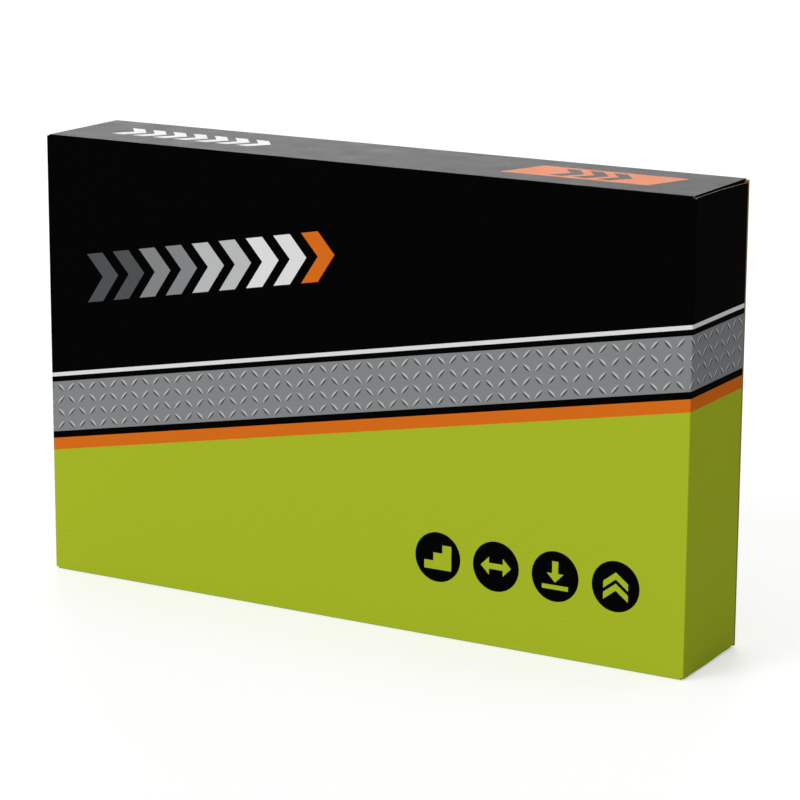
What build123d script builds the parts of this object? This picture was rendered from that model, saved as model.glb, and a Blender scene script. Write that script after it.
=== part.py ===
"""Sealed retail carton, folded from one blank of fluted board.

The blank is wrapped round the X axis into a tube of four panels, glued along the
lower back edge. Each end is closed by a flap that is hinged on the front panel,
lies over two dust flaps and is tucked in and glued behind the back panel.
The closed pack can't be seen into, so it is one solid. It stands on its long
narrow side: X is the length, the front panel is at -Y, and Z = 0 is the surface
that it stands on. All sizes are in millimetres.
"""

import os

from build123d import *

# Outside size of the closed carton
carton_length = 520.0
carton_depth = 86.0
carton_height = 330.0

# Fluted board, and the outside radius that it takes at a scored fold
board = 1.6
fold_radius = 0.8

# End flap: room beside the dust-flap folds, room past the fold in the die-cut relief at
# both ends of the hinge, and the taper that lets the tucked side slide in
flap_play = 0.2
nick_play = 0.2
taper_start = 38.0
flap_taper = 1.5

# Slot beside the tuck fold, and the back panel's raw end edge next to it
tuck_gap = 0.5
tuck_depth = 8.0
edge_shy = 0.4

# Glued joint: the tab's fold, then a slot, then the back panel's raw lower edge
joint_gap = 0.4
joint_depth = 3.0
joint_rise = 0.3

# Planes and lines that the pieces of the blank share
half_length = carton_length / 2
half_depth = carton_depth / 2
mid_height = carton_height / 2
tube_end = half_length - board
back_inside = half_depth - board
tuck_line = back_inside - tuck_gap
tab_fold = back_inside - joint_gap
flap_margin = fold_radius + flap_play
hinge_nick = fold_radius + nick_play

with BuildPart() as carton:
    # Tube of four panels, with the glued joint at its lower back edge
    with BuildSketch(Plane.YZ.offset(-tube_end)):
        with BuildLine():
            Polyline(
                (-half_depth, 0),
                (tab_fold, 0),
                (tab_fold, joint_depth),
                (back_inside, joint_depth),
                (back_inside, joint_rise),
                (half_depth, joint_rise),
                (half_depth, carton_height),
                (-half_depth, carton_height),
                close=True,
            )
        make_face()
    extrude(amount=2 * tube_end)

    # End flaps, each lying on its dust flaps
    for flap_start in (-half_length, tube_end):
        with BuildSketch(Plane.YZ.offset(flap_start)):
            with BuildLine():
                lower_half = Polyline(
                    (-half_depth, mid_height),
                    (-half_depth, flap_margin + hinge_nick),
                    (-half_depth + hinge_nick, flap_margin),
                    (-half_depth + taper_start, flap_margin),
                    (tuck_line, flap_margin + flap_taper),
                    (tuck_line, mid_height),
                )
                mirror(lower_half, about=Plane.XZ.offset(-mid_height))
            make_face()
        extrude(amount=board)

    # Ends of the back panel, which stand beside the tuck folds with their edges raw
    for edge_start in (-half_length + edge_shy, tube_end):
        with BuildSketch(Plane.YZ.offset(edge_start)):
            with Locations((half_depth - board / 2, mid_height)):
                Rectangle(board, carton_height - 2 * flap_margin)
        extrude(amount=board - edge_shy)

    # Slots that the tuck tongues go down, between the dust flaps and the back panel
    for slot_start in (-tube_end, tube_end - tuck_depth):
        with BuildSketch(Plane.YZ.offset(slot_start)):
            with Locations((tuck_line + tuck_gap / 2, mid_height)):
                Rectangle(tuck_gap, carton_height - 2 * flap_margin)
        extrude(amount=tuck_depth, mode=Mode.SUBTRACT)

    # Folds: all round the top and bottom panels, and both uprights of each end flap
    levels = carton.faces().filter_by(Axis.Z).sort_by(Axis.Z)
    uprights = carton.edges().filter_by(Axis.Z).group_by(Axis.X)
    folds = levels[0].edges() + levels[-1].edges() + uprights[0] + uprights[-1]
    fillet(folds, radius=fold_radius)

carton.part.label = "carton"

os.makedirs("parts", exist_ok=True)
export_step(carton.part, "parts/carton.step")
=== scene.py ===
"""Looks of the sealed carton: its printed blank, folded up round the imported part, in a plain studio.

The blank is drawn flat, in millimetres, as a printer would draw it. Point (a, b) of it lies a to the
right of the carton's middle and b above the front panel's lower fold; further up, b runs on over the
top panel and down the back. The printed shapes cut the blank into fields of ink, and every point is
then folded up to its place in the frame, which is in metres.
"""

import cmath
import math

import bmesh
import bpy
from mathutils import Matrix, Vector
from mathutils.geometry import delaunay_2d_cdt


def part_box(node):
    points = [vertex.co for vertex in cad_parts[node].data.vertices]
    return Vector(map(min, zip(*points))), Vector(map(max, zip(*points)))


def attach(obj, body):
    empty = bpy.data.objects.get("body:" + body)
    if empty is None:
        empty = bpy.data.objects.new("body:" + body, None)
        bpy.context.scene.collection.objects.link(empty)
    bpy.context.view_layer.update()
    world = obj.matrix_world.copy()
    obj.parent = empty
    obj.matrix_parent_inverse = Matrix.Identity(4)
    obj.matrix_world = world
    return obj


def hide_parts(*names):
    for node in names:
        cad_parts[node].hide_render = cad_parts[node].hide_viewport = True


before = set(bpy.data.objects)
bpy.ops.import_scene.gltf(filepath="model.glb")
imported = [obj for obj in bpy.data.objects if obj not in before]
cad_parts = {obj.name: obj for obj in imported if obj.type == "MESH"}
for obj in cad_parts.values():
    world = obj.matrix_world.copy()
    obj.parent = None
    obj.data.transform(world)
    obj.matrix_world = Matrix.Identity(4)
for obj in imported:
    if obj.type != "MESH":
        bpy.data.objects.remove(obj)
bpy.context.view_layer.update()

MM = 0.001
low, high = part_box("carton")
LENGTH, DEPTH, HEIGHT = (high - low) / MM

# Board and folds, as in the part
BOARD = 1.6
FOLD_RADIUS = 0.8
FLAP_PLAY = 0.2
NICK_PLAY = 0.2
TAPER_START = 38.0
FLAP_TAPER = 1.5
TUCK_GAP = 0.5
EDGE_SHY = 0.4
JOINT_GAP = 0.4
JOINT_RISE = 0.3

# Parts of the blank that end up inside the carton
FLAP_REST = 0.1
TONGUE = 18.0
TONGUE_TAPER = 11.0
DUST_FLAP = 60.0
DUST_PLAY = 1.0
DUST_TAPER = 4.0
TAB_WIDTH = 18.0
TAB_SETBACK = 22.0
TAB_TAPER = 5.0

# Lines of the blank: folds and edges across the length (a), then those round the tube (b)
HINGE = LENGTH / 2
TUCK = HINGE + DEPTH - BOARD - TUCK_GAP
DUST_FOLD = HINGE - BOARD - FLAP_REST
CORNER = DUST_FOLD - FOLD_RADIUS
BACK_END = HINGE - EDGE_SHY
FLAP_MARGIN = FOLD_RADIUS + FLAP_PLAY
HINGE_NICK = FOLD_RADIUS + NICK_PLAY
MIDDLE = HEIGHT / 2
BACK_FOLD = HEIGHT + DEPTH
BACK_FOOT = BACK_FOLD + HEIGHT
BACK_EDGE = BACK_FOOT - JOINT_RISE
TAB_FOLD = JOINT_GAP + BOARD - DEPTH
TAB_EDGE = TAB_FOLD - TAB_WIDTH
DUST_FRONT = BOARD + DUST_PLAY
DUST_BACK = DEPTH - 2 * BOARD - TUCK_GAP - DUST_PLAY

# Folds turn in a few steps, and for a crease's width on both sides the board is crushed
FOLD_STEPS = 4
CREASE_PLAY = 0.05
CREASE = BOARD + CREASE_PLAY
CRUSH_PLAY = 0.1
CRUSHED = FOLD_RADIUS - CRUSH_PLAY

# Cutting of the blank: only triangles inside its shapes, and points this close become one
TRIANGLES_INSIDE = 1
SNAP = 1e-3

# Corrugation of the board: flutes run along a, so cuts along b lay their wave open
FLUTE_PITCH = 3.4
FLUTE_STEPS = 10
PAPER = 0.24
EDGE_RELIEF = 0.12

# Layers of a cut edge, each between two shares of the board's thickness
LINER = PAPER / BOARD
# The middle layer is painted shade: a dark brown that stands for the hollows of the open flutes
EDGE_LAYERS = [("kraft", 0.0, LINER), ("painted_flute_shade", LINER, 1 - LINER), ("kraft", 1 - LINER, 1.0)]

# Print is drawn past the ends of the blank, so that it bleeds off the cut edges
BAND_REACH = TUCK + 2 * TONGUE
LIME_FOOT = -2 * DEPTH

# Printed bands: they climb across the front, and heights on them are measured from their lower edge
BAND_LOW = 92.0
BAND_HIGH = 186.0
ORANGE_BAND = (0.0, 9.0)
PLATE_BAND = (14.0, 52.0)
RULE_BAND = (56.0, 59.0)

# Tread plate: lozenges sized as shares of their square cell
PLATE_ROWS = 4
TREAD_LENGTH = 0.92
TREAD_WIDTH = 0.30
TREAD_LEAN = math.radians(45)
TREAD_STEPS = 6

# Printed signs
CHEVRON_HEIGHT = 36.0
CHEVRON_STEP = 23.0
CHEVRON_START = (-212.0, 128.0)
CHEVRON_STROKE = 0.38
CHEVRON_INKS = ["slate", "slate", "plate", "plate", "silver", "silver", "light", "light", "orange"]
BADGE_RADIUS = 18.0
BADGE_STEP = 46.0
BADGE_START = (70.0, 58.0)
DISC_SIDES = 48

# Printed signs of the top panel
TOP_CHEVRON_HEIGHT = 28.0
TOP_CHEVRON_STEP = 18.0
TOP_CHEVRON_START = -212.0
TOP_CHEVRON_COUNT = 7
TOP_BLOCK = [(-62.0, -19.0), (48.0, -19.0), (62.0, 19.0), (-48.0, 19.0)]
TOP_BLOCK_PLACE = 165.0
TOP_BLOCK_COUNT = 3

# Colours as sRGB, 0 to 255
GROUND_INK = "black"
INK_COLOURS = {
    "black": (5, 5, 5),
    "lime": (160, 176, 39),
    "orange": (205, 103, 27),
    "light": (213, 213, 213),
    "silver": (178, 180, 181),
    "plate": (126, 128, 130),
    "slate": (76, 78, 80),
}
# Bare board: kraft paper, and a dark brown that is painted shade for the hollows of its open flutes
BOARD_COLOURS = {"kraft": (172, 142, 104), "painted_flute_shade": (60, 46, 32)}

# Sheet that is baked: the printed side within a border, and the inside beside it at a smaller scale
BAKE_BORDER = 10.3
INSIDE_SCALE = 0.12
INSIDE_CORNER = Vector((315.0, 480.0))

# Surface of the board, in metres
FLUTE_SHOW = 2e-5
GRAIN_SIZE = 0.0007
GRAIN_HEIGHT = 4e-6
SAG_SIZE = 0.08
SAG_HEIGHT = 1.2e-4
FIBRE_SIZE = 0.0005
FIBRE_HEIGHT = 5e-5
PAPER_ROUGHNESS = 0.9

# Varnish over the ink: its roughness varies between two values
VARNISH_SIZE = 0.02
VARNISH_DETAIL = 4.0
VARNISH_ROUGHNESS = (0.24, 0.34)
VARNISH_IOR = 1.015
VARNISH_LEVEL = 0.49

# Studio
WHITE = (1.0, 1.0, 1.0, 1.0)
AMBIENT = 0.4
FLOOR_SIZE = 40.0
FLOOR_GAP = 0.0002
FLOOR_COLOUR = (0.62, 0.62, 0.62, 1.0)
FLOOR_LIFT = 0.45

# Camera fitted to the carton's corners in the photograph: metres, but millimetres for lens and sensor
CAMERA_AZIMUTH = math.radians(29.84)
CAMERA_ELEVATION = math.radians(13.47)
CAMERA_ROLL = math.radians(0.29)
CAMERA_DISTANCE = 2.1837
CAMERA_LENS = 137.63
AIM_RIGHT = 0.0123
AIM_UP = -0.0112
SENSOR = 36.0
CENTRE = (low + high) / 2


# Outline and folds of the flat blank

def mirrored_up(points):
    """The same points in reverse, mirrored about the front panel's middle line."""
    return [(a, HEIGHT - b) for a, b in reversed(points)]


def blank_outline():
    """The blank's cut edge, anticlockwise."""
    tab = [
        (DUST_FOLD - TAB_SETBACK, TAB_EDGE),
        (DUST_FOLD - TAB_SETBACK + TAB_TAPER, TAB_FOLD + FOLD_RADIUS),
        (CORNER, TAB_FOLD + FOLD_RADIUS),
    ]
    dust_end = DUST_FOLD + DUST_FLAP
    dust_flap = [
        (CORNER, -DUST_BACK),
        (dust_end, -DUST_BACK + DUST_TAPER),
        (dust_end, -DUST_FRONT - DUST_TAPER),
        (CORNER, -DUST_FRONT),
    ]
    end_flap = [
        (CORNER, FLAP_MARGIN),
        (HINGE, FLAP_MARGIN + HINGE_NICK),
        (HINGE + HINGE_NICK, FLAP_MARGIN),
        (HINGE + TAPER_START, FLAP_MARGIN),
        (TUCK + FOLD_RADIUS, FLAP_MARGIN + FLAP_TAPER),
        (TUCK + TONGUE, FLAP_MARGIN + FLAP_TAPER + TONGUE_TAPER),
    ]
    back = [
        (CORNER, BACK_FOLD + FLAP_MARGIN),
        (BACK_END, BACK_FOLD + FLAP_MARGIN),
        (BACK_END, BACK_FOOT - FLAP_MARGIN),
        (CORNER, BACK_FOOT - FLAP_MARGIN),
        (CORNER, BACK_EDGE),
    ]
    right = tab + dust_flap + end_flap + mirrored_up(end_flap) + mirrored_up(dust_flap) + back
    left = [(-a, b) for a, b in reversed(right)]
    return right + left


def end_folds(b):
    """Folds that cross the length of the panel at b, measured from its middle."""
    if 0 <= b <= HEIGHT:
        return (HINGE, TUCK)
    if b > BACK_FOLD:
        return ()
    return (DUST_FOLD,)


def tube_folds(b):
    """Folds on the way round the tube, measured from the middle of the front panel."""
    if b >= MIDDLE:
        return (HEIGHT - MIDDLE, BACK_FOLD - MIDDLE)
    return (MIDDLE, MIDDLE - TAB_FOLD)


def fold_lines():
    """Straight lines along every fold, close enough together to bend smoothly."""
    half_arc = FOLD_STEPS // 2
    bend_steps = [FOLD_RADIUS * i / half_arc for i in range(-half_arc, half_arc + 1)]
    steps = [-CREASE] + bend_steps + [CREASE]
    lines = []
    for fold in (TAB_FOLD, 0.0, HEIGHT, BACK_FOLD):
        lines += [((-CORNER, fold + s), (CORNER, fold + s)) for s in steps]
    dust_spans = [(-DUST_BACK, -DUST_FRONT), (HEIGHT + DUST_FRONT, HEIGHT + DUST_BACK)]
    across = [(HINGE, 0.0, HEIGHT), (TUCK, 0.0, HEIGHT)] + [(DUST_FOLD, *span) for span in dust_spans]
    for fold, start, end in across:
        for side in (-1, 1):
            lines += [((side * (fold + s), start), (side * (fold + s), end)) for s in steps]
    return lines


def bend(travel, folds, depth):
    """Where a point ends up after travelling over right-angled folds, at a depth under the printed face.

    The result is a complex number: its real part runs on along the first panel, and its imaginary
    part goes into the carton.
    """
    corner, heading, start = 0j, 1 + 0j, 0.0
    for fold in folds:
        if travel < fold - FOLD_RADIUS:
            break
        if travel < fold + FOLD_RADIUS:
            turn = (travel - fold + FOLD_RADIUS) / (2 * FOLD_RADIUS) * math.pi / 2
            centre = corner + heading * (fold - start - FOLD_RADIUS + FOLD_RADIUS * 1j)
            return centre - heading * 1j * cmath.exp(1j * turn) * (FOLD_RADIUS - depth)
        corner += heading * (fold - start)
        heading *= 1j
        start = fold
    return corner + heading * (travel - start + depth * 1j)


def fold_up(a, b, depth=0.0):
    """Place in the frame of a point of the blank."""
    along = bend(abs(a), end_folds(b), depth)
    round_tube = bend(abs(b - MIDDLE), tube_folds(b), along.imag)
    x = math.copysign(1.0, a) * along.real
    y = round_tube.imag - DEPTH / 2
    z = MIDDLE + math.copysign(1.0, b - MIDDLE) * round_tube.real
    return Vector((x, y, z)) * MM


def thickness(a, b):
    """Thickness of the board, which is crushed where it is folded."""
    gaps = [abs(abs(a) - fold) for fold in end_folds(b)]
    gaps += [abs(abs(b - MIDDLE) - fold) for fold in tube_folds(b)]
    return CRUSHED if min(gaps) < CREASE - SNAP else BOARD


def printed_normal(a, b):
    """Direction that the printed face looks in at a point of the blank."""
    return (fold_up(a, b, -CRUSHED) - fold_up(a, b, CRUSHED)).normalized()


# Printed shapes

def climb(a):
    """Level of the bands' lower edge, which rises across the front and stays even on the ends."""
    share = min(max(a / LENGTH + 0.5, 0.0), 1.0)
    return BAND_LOW + (BAND_HIGH - BAND_LOW) * share


def band_line(height):
    """A line across the front and both ends, at a height on the bands."""
    return [(a, climb(a) + height) for a in (-BAND_REACH, -HINGE, HINGE, BAND_REACH)]


def strip(lower, upper):
    """A band between two heights, across the front and both ends."""
    return band_line(lower) + band_line(upper)[::-1]


def on_bands(points, a, height):
    """Points about the origin, moved to a and to a height on the bands, and leaning as they climb."""
    return [(a + x, climb(a + x) + height + y) for x, y in points]


def moved(points, a, b):
    """Points about the origin, moved to a place on the blank."""
    return [(a + x, b + y) for x, y in points]


def turned(points, angle):
    """Points turned about the origin."""
    turn = Matrix.Rotation(angle, 2)
    return [turn @ Vector(p) for p in points]


def tread_halves(length, width):
    """The lit and the shaded half of one raised lozenge of tread plate, along the X axis."""
    steps = [2 * i / TREAD_STEPS - 1 for i in range(TREAD_STEPS + 1)]
    curve = [(length / 2 * t, width / 2 * (1 - t * t)) for t in steps]
    lit = curve[::-1]
    shaded = [(x, -y) for x, y in curve]
    return lit, shaded


def tread_plate():
    """Lozenges in two directions by turns, on the plate band."""
    cell = (PLATE_BAND[1] - PLATE_BAND[0]) / PLATE_ROWS
    lit, shaded = tread_halves(cell * TREAD_LENGTH, cell * TREAD_WIDTH)
    columns = math.ceil(BAND_REACH / cell)
    shapes = []
    for column in range(-columns, columns):
        for row in range(PLATE_ROWS):
            lean = TREAD_LEAN if (column + row) % 2 else -TREAD_LEAN
            place = ((column + 0.5) * cell, PLATE_BAND[0] + (row + 0.5) * cell)
            shapes.append(("silver", on_bands(turned(lit, lean), *place)))
            shapes.append(("slate", on_bands(turned(shaded, lean), *place)))
    return shapes


def chevron(height):
    """An arrow stroke that points along +X, about its middle."""
    half = height / 2
    width = height * CHEVRON_STROKE
    return [(-width, -half), (0, -half), (width, 0), (0, half), (-width, half), (0, 0)]


def disc(radius):
    """A round field about the origin."""
    angles = [2 * math.pi * i / DISC_SIDES for i in range(DISC_SIDES)]
    return [(radius * math.cos(t), radius * math.sin(t)) for t in angles]


def pictograms():
    """Plain signs for steps, width, load and rise, each within a circle of radius 1."""
    tread, riser, stair_count = 0.4, 0.33, 2
    stairs = [(0.6, 0.5)]
    for _ in range(stair_count):
        a, b = stairs[-1]
        stairs += [(a - tread, b), (a - tread, b - riser)]
    steps = [(-0.6, -0.5), (0.6, -0.5)] + stairs + [(-0.6, stairs[-1][1])]
    half_width = [(-0.3, -0.36), (-0.3, -0.12), (0.3, -0.12), (0.3, -0.36), (0.66, 0.0)]
    width = half_width + [(-a, -b) for a, b in half_width]
    half_arrow = [(0, -0.24), (0.36, 0.12), (0.13, 0.12), (0.13, 0.6)]
    arrow = half_arrow + [(-a, b) for a, b in reversed(half_arrow[1:])]
    ground = [(-0.56, -0.52), (0.56, -0.52), (0.56, -0.34), (-0.56, -0.34)]
    stroke = [(-0.52, -0.56), (0, -0.16), (0.52, -0.56), (0.52, -0.28), (0, 0.12), (-0.52, -0.28)]
    stroke_step = 0.44
    return [[steps], [width], [arrow, ground], [stroke, moved(stroke, 0, stroke_step)]]


def badge(signs, a, b):
    """A black disc with a sign on it in the colour of the ground."""
    shapes = [("black", moved(disc(BADGE_RADIUS), a, b))]
    for sign in signs:
        scaled = [(BADGE_RADIUS * x, BADGE_RADIUS * y) for x, y in sign]
        shapes.append(("lime", moved(scaled, a, b)))
    return shapes


def front_print():
    """Bands, lozenges, chevrons and badges of the front and the ends, in painting order."""
    lime = [(-BAND_REACH, LIME_FOOT), (BAND_REACH, LIME_FOOT)] + band_line(0)[::-1]
    shapes = [("lime", lime), ("orange", strip(*ORANGE_BAND)), ("light", strip(*RULE_BAND))]
    shapes += [("plate", strip(*PLATE_BAND))] + tread_plate()
    start, height = CHEVRON_START
    for i, ink in enumerate(CHEVRON_INKS):
        shapes.append((ink, on_bands(chevron(CHEVRON_HEIGHT), start + CHEVRON_STEP * i, height)))
    for i, signs in enumerate(pictograms()):
        shapes += badge(signs, BADGE_START[0] + BADGE_STEP * i, BADGE_START[1])
    return shapes


def top_print():
    """A row of chevrons on the top panel, and a slanted block with chevrons of its own."""
    level = HEIGHT + DEPTH / 2
    sign = chevron(TOP_CHEVRON_HEIGHT)
    block_start = TOP_BLOCK_PLACE - TOP_CHEVRON_STEP * (TOP_BLOCK_COUNT - 1) / 2
    rows = [("light", TOP_CHEVRON_START, TOP_CHEVRON_COUNT), ("black", block_start, TOP_BLOCK_COUNT)]
    shapes = [("orange", moved(TOP_BLOCK, TOP_BLOCK_PLACE, level))]
    for ink, start, count in rows:
        for i in range(count):
            shapes.append((ink, moved(sign, start + TOP_CHEVRON_STEP * i, level)))
    return shapes


def on_back(shapes):
    """Shapes of the front, carried straight through to the back panel."""
    return [(ink, [(a, BACK_FOOT - b) for a, b in reversed(points)]) for ink, points in shapes]


def printed_shapes():
    """Every shape on the flat blank, in painting order, as pairs of ink and outline."""
    front = front_print()
    return on_back(front) + front + top_print()


def ink_fields():
    """Cuts the blank along its folds and printed shapes: points, triangles and the ink of each."""
    shapes = printed_shapes()
    points, edges, faces = [], [], []
    for polygon in [blank_outline()] + [outline for _, outline in shapes]:
        faces.append(list(range(len(points), len(points) + len(polygon))))
        points += [Vector(p) for p in polygon]
    for start, end in fold_lines():
        edges.append((len(points), len(points) + 1))
        points += [Vector(start), Vector(end)]
    cut = delaunay_2d_cdt(points, edges, faces, TRIANGLES_INSIDE, SNAP)
    flat, _, triangles, _, _, covers = cut
    kept, inks = [], []
    for triangle, cover in zip(triangles, covers):
        # Polygon 0 is the blank itself, and of the shapes over it the last one printed shows
        if 0 in cover:
            kept.append(triangle)
            inks.append(shapes[max(cover) - 1][0] if max(cover) else GROUND_INK)
    return flat, kept, inks


# Folded board

def add_object(name, data):
    """A new object in the scene."""
    thing = bpy.data.objects.new(name, data)
    bpy.context.scene.collection.objects.link(thing)
    return thing


def rim_edges(triangles):
    """Edges on the cut outline, each in the direction that its only triangle runs."""
    directed = {(t[i - 1], t[i]) for t in triangles for i in range(3)}
    return sorted((i, j) for i, j in directed if (j, i) not in directed)


def board_faces(flat, triangles, inks):
    """Faces of the board's printed side, inside and cut rim.

    Each face has its corners, which are points of the blank with a share of the board's thickness,
    then its material and the corners' places on the sheet that is baked.
    """
    faces = [([(v, 0.0) for v in t], ink, [flat[v] for v in t]) for t, ink in zip(triangles, inks)]
    for triangle in triangles:
        inside = triangle[::-1]
        places = [INSIDE_CORNER + flat[v] * INSIDE_SCALE for v in inside]
        faces.append(([(v, 1.0) for v in inside], "kraft", places))
    for i, j in rim_edges(triangles):
        outward = (flat[j] - flat[i]).orthogonal().normalized() * -BOARD
        for layer, outer, inner in EDGE_LAYERS:
            corners = [(j, outer), (i, outer), (i, inner), (j, inner)]
            faces.append((corners, layer, [flat[v] + outward * share for v, share in corners]))
    return faces


def bake_place(point):
    """A point of the sheet that is baked, in the unit square."""
    foot = TAB_EDGE - BAKE_BORDER
    span = BACK_EDGE + BAKE_BORDER - foot
    return (point[0] / span + 0.5, (point[1] - foot) / span)


def map_board(mesh, flat, faces):
    """Lays out the board's two maps, and sets its normals, which turn smoothly over printed folds."""
    for name in ("blank", "OFBake"):
        mesh.uv_layers.new(name=name)
    blank_map, bake_map = mesh.uv_layers
    normals = []
    for polygon, (corners, material, places) in zip(mesh.polygons, faces):
        printed = material in INK_COLOURS
        for loop, (v, _), place in zip(polygon.loop_indices, corners, places):
            normals.append(printed_normal(*flat[v]) if printed else polygon.normal.copy())
            blank_map.data[loop].uv = flat[v] * MM
            bake_map.data[loop].uv = bake_place(place)
    mesh.normals_split_custom_set(normals)


def folded_carton(materials):
    """The carton's board: one closed mesh of the folded blank."""
    flat, triangles, inks = ink_fields()
    faces = board_faces(flat, triangles, inks)
    corners = sorted({corner for face, _, _ in faces for corner in face})
    number = {corner: i for i, corner in enumerate(corners)}
    places = [fold_up(*flat[v], thickness(*flat[v]) * share) for v, share in corners]
    mesh = bpy.data.meshes.new("folded_carton")
    mesh.from_pydata(places, [], [[number[c] for c in face] for face, _, _ in faces], shade_flat=False)
    for material in materials.values():
        mesh.materials.append(material)
    slots = {name: i for i, name in enumerate(materials)}
    mesh.polygons.foreach_set("material_index", [slots[name] for _, name, _ in faces])
    map_board(mesh, flat, faces)
    return add_object("folded_carton", mesh)


# Flutes at the back panel's cut ends

def flute_lines():
    """The wavy fluting and both liners of the back panel, as lines in the YZ plane."""
    bottom, top = FLAP_MARGIN, HEIGHT - FLAP_MARGIN
    middle = (DEPTH - BOARD) / 2
    spread = (BOARD - PAPER) / 2
    sway = spread - PAPER
    samples = int((top - bottom) / FLUTE_PITCH * FLUTE_STEPS)
    heights = [bottom + (top - bottom) * i / samples for i in range(samples + 1)]
    wave = [Vector((middle + sway * math.sin(2 * math.pi * z / FLUTE_PITCH), z)) for z in heights]
    liners = [[Vector((y, z)) for z in (bottom, top)] for y in (middle - spread, middle + spread)]
    return [wave] + liners


def ribbon(model, centre_line, x_low, x_high):
    """A strip of paper on edge: a line in the YZ plane, as thick as the paper and stretched along X."""
    rows = []
    for i, point in enumerate(centre_line):
        before, after = centre_line[max(i - 1, 0)], centre_line[min(i + 1, len(centre_line) - 1)]
        side = (after - before).orthogonal().normalized() * PAPER / 2
        near, far = point - side, point + side
        corners = [(x_low, near), (x_high, near), (x_high, far), (x_low, far)]
        rows.append([model.verts.new(Vector((x, yz.x, yz.y)) * MM) for x, yz in corners])
    for row, following in zip(rows, rows[1:]):
        for i in range(len(row)):
            model.faces.new((row[i - 1], row[i], following[i], following[i - 1]))
    model.faces.new(reversed(rows[0]))
    model.faces.new(rows[-1])


def flute_edges(material):
    """Paper laid open at both ends of the back panel, where it is cut across its flutes."""
    model = bmesh.new()
    for side in (-1, 1):
        x_low, x_high = sorted((side * (BACK_END - EDGE_RELIEF), side * (BACK_END + EDGE_RELIEF)))
        for line in flute_lines():
            ribbon(model, line, x_low, x_high)
    bmesh.ops.recalc_face_normals(model, faces=model.faces)
    mesh = bpy.data.meshes.new("flute_edges")
    model.to_mesh(mesh)
    model.free()
    mesh.materials.append(material)
    return add_object("flute_edges", mesh)


# Materials

def linear(colour):
    """A colour of 0 to 255 in sRGB as linear RGBA."""
    channels = [c / 255 for c in colour]
    return [c / 12.92 if c <= 0.04045 else ((c + 0.055) / 1.055) ** 2.4 for c in channels] + [1.0]


def feed(tree, socket, value):
    """Links an input to another node's output, or sets it to a plain value."""
    if isinstance(value, bpy.types.NodeSocket):
        tree.links.new(value, socket)
    else:
        socket.default_value = value


def add_node(tree, kind, **inputs):
    """A shader node with its inputs fed by name; spaces are written as underscores."""
    node = tree.nodes.new(kind)
    for name, value in inputs.items():
        feed(tree, node.inputs[name.replace("_", " ")], value)
    return node


def math_node(tree, operation, first, second=0.0):
    """The result of a math node."""
    node = tree.nodes.new("ShaderNodeMath")
    node.operation = operation
    feed(tree, node.inputs[0], first)
    feed(tree, node.inputs[1], second)
    return node.outputs["Value"]


def noise(tree, vector, size, detail=2.0):
    """Soft noise whose grains are about size across, in metres."""
    node = add_node(tree, "ShaderNodeTexNoise", Vector=vector, Scale=1 / size, Detail=detail)
    return node.outputs["Fac"]


def bumped(tree, height):
    """Normals of a surface with this relief, in metres."""
    return add_node(tree, "ShaderNodeBump", Height=height, Distance=1.0).outputs["Normal"]


def board_surface():
    """Node group for printed board: flutes that show faintly, paper grain and a slow unevenness."""
    group = bpy.data.node_groups.new("board_surface", "ShaderNodeTree")
    for name, kind in (("Roughness", "NodeSocketFloat"), ("Normal", "NodeSocketVector")):
        group.interface.new_socket(name, in_out="OUTPUT", socket_type=kind)
    blank_map = group.nodes.new("ShaderNodeUVMap")
    blank_map.uv_map = "blank"
    place = blank_map.outputs["UV"]
    split = add_node(group, "ShaderNodeSeparateXYZ", Vector=place)
    phase = math_node(group, "MULTIPLY", split.outputs["Y"], 2 * math.pi / (FLUTE_PITCH * MM))
    flutes = math_node(group, "MULTIPLY", math_node(group, "SINE", phase), FLUTE_SHOW)
    grain = math_node(group, "MULTIPLY", noise(group, place, GRAIN_SIZE), GRAIN_HEIGHT)
    sag = math_node(group, "MULTIPLY", noise(group, place, SAG_SIZE), SAG_HEIGHT)
    relief = math_node(group, "ADD", math_node(group, "ADD", flutes, grain), sag)
    varnish = noise(group, place, VARNISH_SIZE, VARNISH_DETAIL)
    smooth, rough = VARNISH_ROUGHNESS
    gloss = add_node(group, "ShaderNodeMapRange", Value=varnish, To_Min=smooth, To_Max=rough)
    add_node(group, "NodeGroupOutput", Roughness=gloss.outputs["Result"], Normal=bumped(group, relief))
    return group


def new_material(name):
    """A material with its node tree and its shader."""
    material = bpy.data.materials.new(name)
    material.use_nodes = True
    return material, material.node_tree, material.node_tree.nodes["Principled BSDF"]


def ink_material(name, colour, surface):
    """Ink under a thin varnish, which shines only where it is seen at a low angle."""
    material, tree, shader = new_material(name + "_ink")
    shader.inputs["Base Color"].default_value = linear(colour)
    shader.inputs["IOR"].default_value = VARNISH_IOR
    # The exported model keeps this index only beside a specular level other than the usual 0.5
    shader.inputs["Specular IOR Level"].default_value = VARNISH_LEVEL
    board = tree.nodes.new("ShaderNodeGroup")
    board.node_tree = surface
    tree.links.new(board.outputs["Roughness"], shader.inputs["Roughness"])
    tree.links.new(board.outputs["Normal"], shader.inputs["Normal"])
    return material


def raw_material(name, colour):
    """Bare paper as at a cut edge, or the painted shade in the open flutes of one."""
    material, tree, shader = new_material(name)
    shader.inputs["Base Color"].default_value = linear(colour)
    shader.inputs["Roughness"].default_value = PAPER_ROUGHNESS
    place = tree.nodes.new("ShaderNodeTexCoord")
    fibres = math_node(tree, "MULTIPLY", noise(tree, place.outputs["Object"], FIBRE_SIZE), FIBRE_HEIGHT)
    tree.links.new(bumped(tree, fibres), shader.inputs["Normal"])
    return material


def dress_carton():
    """Puts the printed board in the place of the part's plain solid."""
    surface = board_surface()
    materials = {name: ink_material(name, colour, surface) for name, colour in INK_COLOURS.items()}
    materials |= {name: raw_material(name, colour) for name, colour in BOARD_COLOURS.items()}
    carton = folded_carton(materials)
    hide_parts("carton")
    for piece in (carton, flute_edges(materials["kraft"])):
        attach(piece, "root")


# Studio

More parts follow.
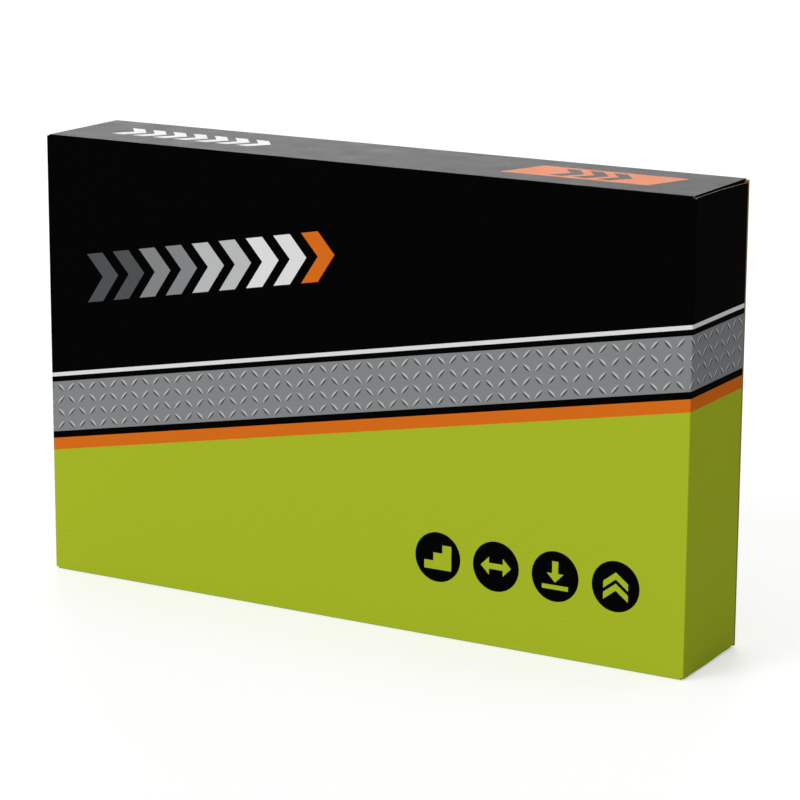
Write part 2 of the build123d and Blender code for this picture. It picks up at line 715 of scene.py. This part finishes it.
def seen_directly(tree):
    """1 for rays that show the background itself, straight, mirrored or through glass."""
    rays = tree.nodes.new("ShaderNodeLightPath").outputs
    mirrored = math_node(tree, "MAXIMUM", rays["Is Glossy Ray"], rays["Is Transmission Ray"])
    return math_node(tree, "MAXIMUM", rays["Is Camera Ray"], mirrored)


def white_world():
    """A world that is white where it is seen, and lights the carton more gently."""
    world = bpy.data.worlds.new("studio")
    world.use_nodes = True
    tree = world.node_tree
    background = tree.nodes["Background"]
    background.inputs["Color"].default_value = WHITE
    strength = add_node(tree, "ShaderNodeMapRange", Value=seen_directly(tree), To_Min=AMBIENT)
    tree.links.new(strength.outputs["Result"], background.inputs["Strength"])
    bpy.context.scene.world = world


def studio_floor():
    """A wide pale floor that is lifted to white where it is seen, and keeps the carton's shadow."""
    bpy.ops.mesh.primitive_plane_add(size=FLOOR_SIZE, location=(0, 0, -FLOOR_GAP))
    floor = bpy.context.object
    floor.name = "floor"
    material, tree, shader = new_material("pale_floor")
    shader.inputs["Base Color"].default_value = FLOOR_COLOUR
    shader.inputs["Roughness"].default_value = 1.0
    shader.inputs["Specular IOR Level"].default_value = 0.0
    shader.inputs["Emission Color"].default_value = WHITE
    lift = math_node(tree, "MULTIPLY", seen_directly(tree), FLOOR_LIFT)
    tree.links.new(lift, shader.inputs["Emission Strength"])
    floor.data.materials.append(material)


def direction(azimuth, elevation):
    """Unit vector from the carton; azimuth 0 is straight in front of it, and grows to its right."""
    flat_part = math.cos(elevation)
    return Vector((math.sin(azimuth) * flat_part, -math.cos(azimuth) * flat_part, math.sin(elevation)))


def soft_light(name, azimuth, elevation, spread, brightness):
    """A wide light, far off, that gives a white surface facing it this brightness; angles in degrees."""
    light = bpy.data.lights.new(name, "SUN")
    light.angle = math.radians(spread)
    light.energy = brightness * math.pi
    toward = direction(math.radians(azimuth), math.radians(elevation))
    add_object(name, light).rotation_euler = toward.to_track_quat("Z", "Y").to_euler()


def photo_camera():
    """The camera that saw the carton as the photograph shows it."""
    back = direction(CAMERA_AZIMUTH, CAMERA_ELEVATION)
    level = Vector((math.cos(CAMERA_AZIMUTH), math.sin(CAMERA_AZIMUTH), 0))
    roll = Matrix.Rotation(CAMERA_ROLL, 3, back)
    right, up = roll @ level, roll @ back.cross(level)
    camera = add_object("camera", bpy.data.cameras.new("camera"))
    camera.data.lens = CAMERA_LENS
    camera.data.sensor_width = SENSOR
    place = CENTRE + right * AIM_RIGHT + up * AIM_UP + back * CAMERA_DISTANCE
    turn = Matrix((right, up, back)).transposed().to_4x4()
    camera.matrix_world = Matrix.Translation(place) @ turn
    bpy.context.scene.camera = camera


dress_carton()
white_world()
studio_floor()
soft_light("key", azimuth=-32, elevation=20, spread=40, brightness=0.6)
soft_light("rear", azimuth=210, elevation=15, spread=30, brightness=0.6)
soft_light("overhead", azimuth=0, elevation=85, spread=60, brightness=0.3)
photo_camera()
bpy.context.scene.view_settings.view_transform = "Standard"
